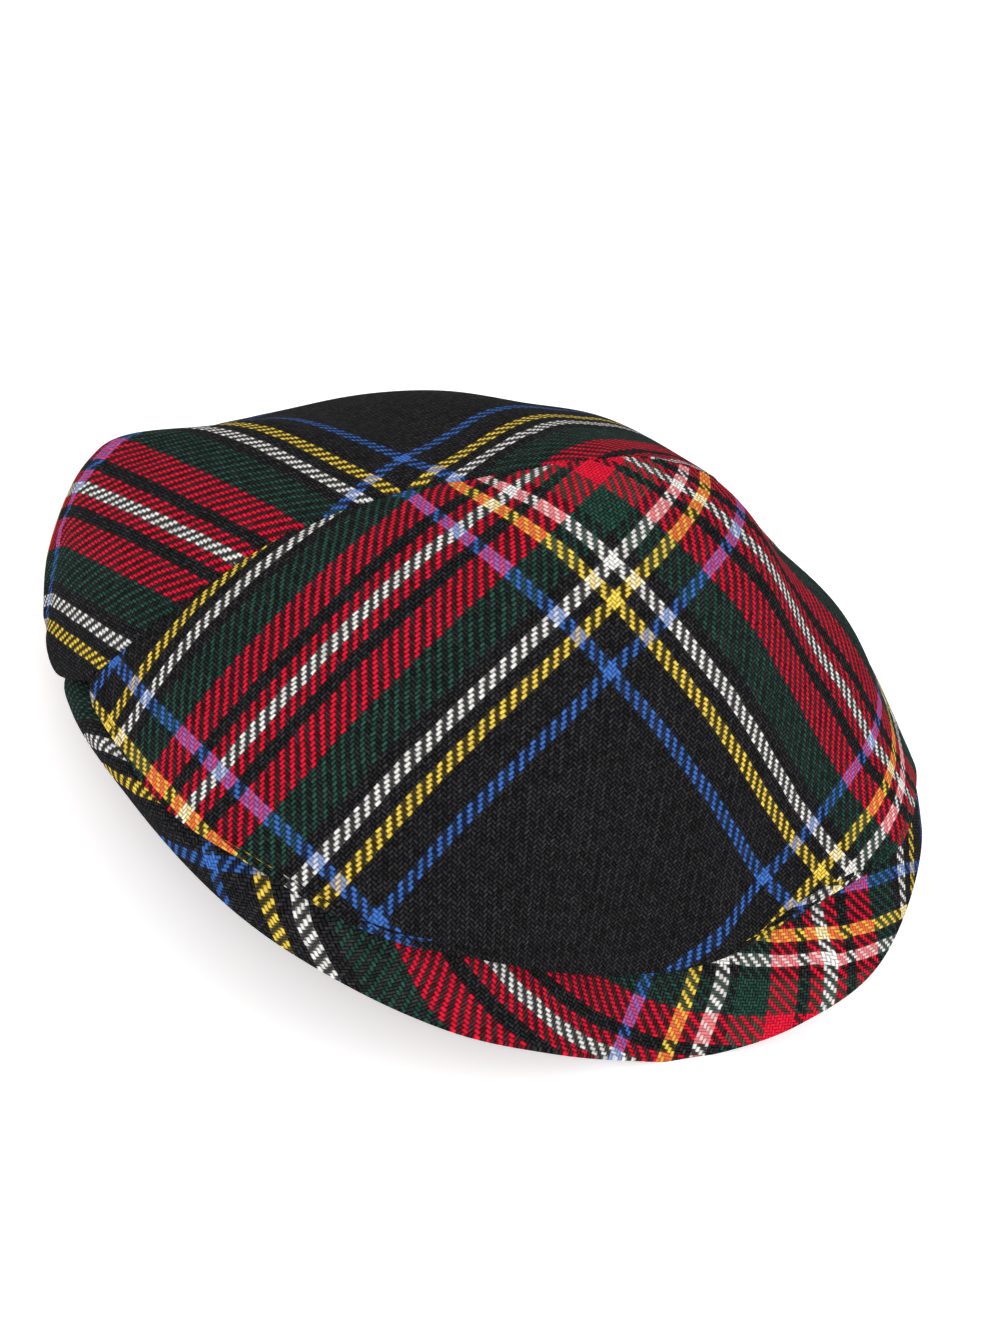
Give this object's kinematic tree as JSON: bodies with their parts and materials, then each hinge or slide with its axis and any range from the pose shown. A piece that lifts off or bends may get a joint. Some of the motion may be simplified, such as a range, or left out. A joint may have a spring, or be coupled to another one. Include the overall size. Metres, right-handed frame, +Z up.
{
  "type": "flat cap",
  "caption": "Tartan wool flat cap with a lens-shaped front panel, a wrap-round back panel and a curved cloth-covered peak, open underneath for the head.",
  "frame": {"origin": "centre of the bounding box in plan, on the surface that the cap lies on", "axes": "+Z up, +Y to the back of the cap, +X to the wearer's left"},
  "size_m": [0.2274, 0.2235, 0.107],
  "materials": {
    "front_cloth": "woven wool tartan, two-and-two twill, soft matt nap",
    "back_cloth": "woven wool tartan, two-and-two twill, soft matt nap",
    "peak_cloth": "woven wool tartan, two-and-two twill, drawn tight over the peak"
  },
  "bodies": {
    "root": {"crown_front": "front_cloth", "crown_back": "back_cloth", "peak": "peak_cloth"}
  },
  "joints": []
}
